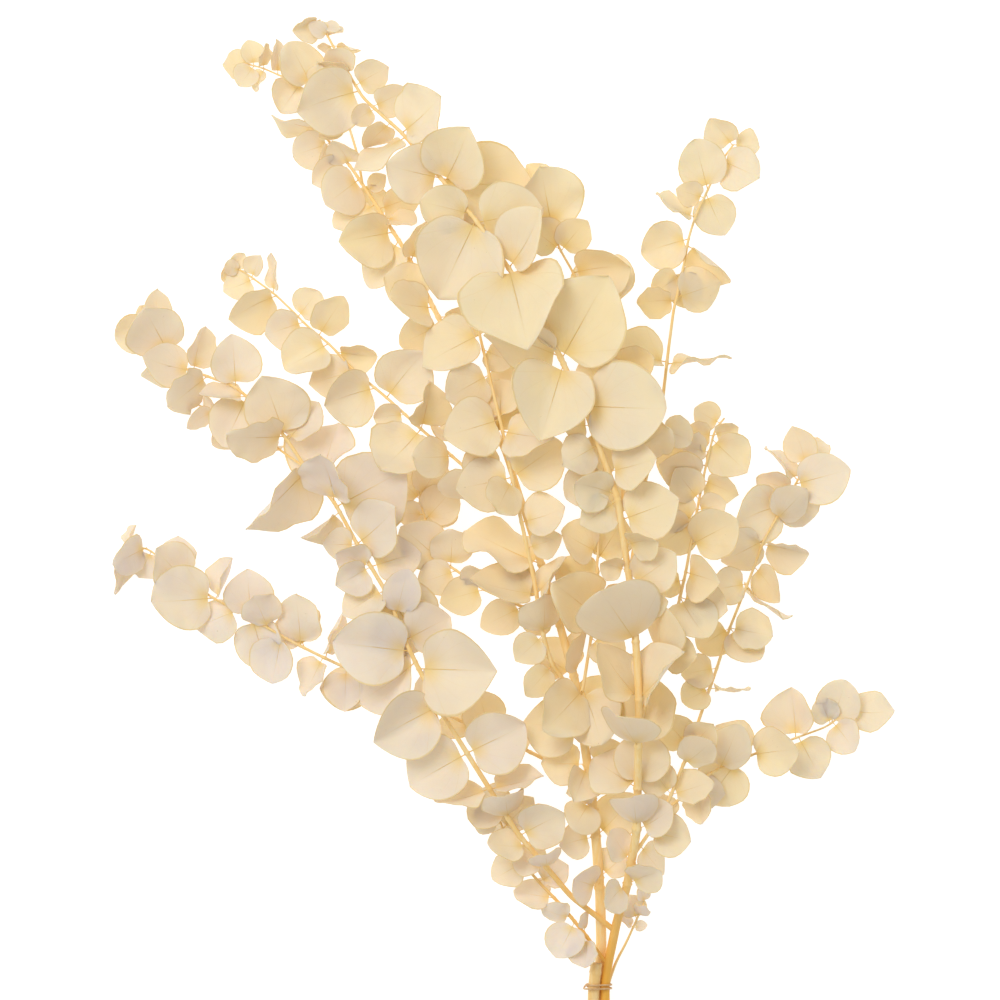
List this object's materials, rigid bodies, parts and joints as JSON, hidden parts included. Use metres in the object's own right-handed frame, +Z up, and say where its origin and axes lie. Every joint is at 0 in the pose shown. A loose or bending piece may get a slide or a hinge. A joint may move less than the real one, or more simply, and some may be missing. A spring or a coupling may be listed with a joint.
{
  "type": "eucalyptus bunch",
  "caption": "Bleached cream eucalyptus bunch with round leaves on branching stems, held by a rubber band, lying flat.",
  "frame": {"origin": "on the surface the bunch lies on, under the middle of its bounding box", "axes": "+Y from the cut ends to the tips, +X to the right, +Z up towards the showing side"},
  "size_m": [0.5665, 0.7434, 0.1371],
  "materials": {
    "leaf": "matt cream, bleached and dried",
    "stem": "matt tan bark, bleached",
    "band": "satin tan rubber"
  },
  "bodies": {
    "root": {"right_leafy_stem": "leaf", "left_leafy_stem": "leaf", "thin_leafy_stem": "leaf", "cut_stem": "stem", "rubber_band": "band"}
  },
  "joints": []
}
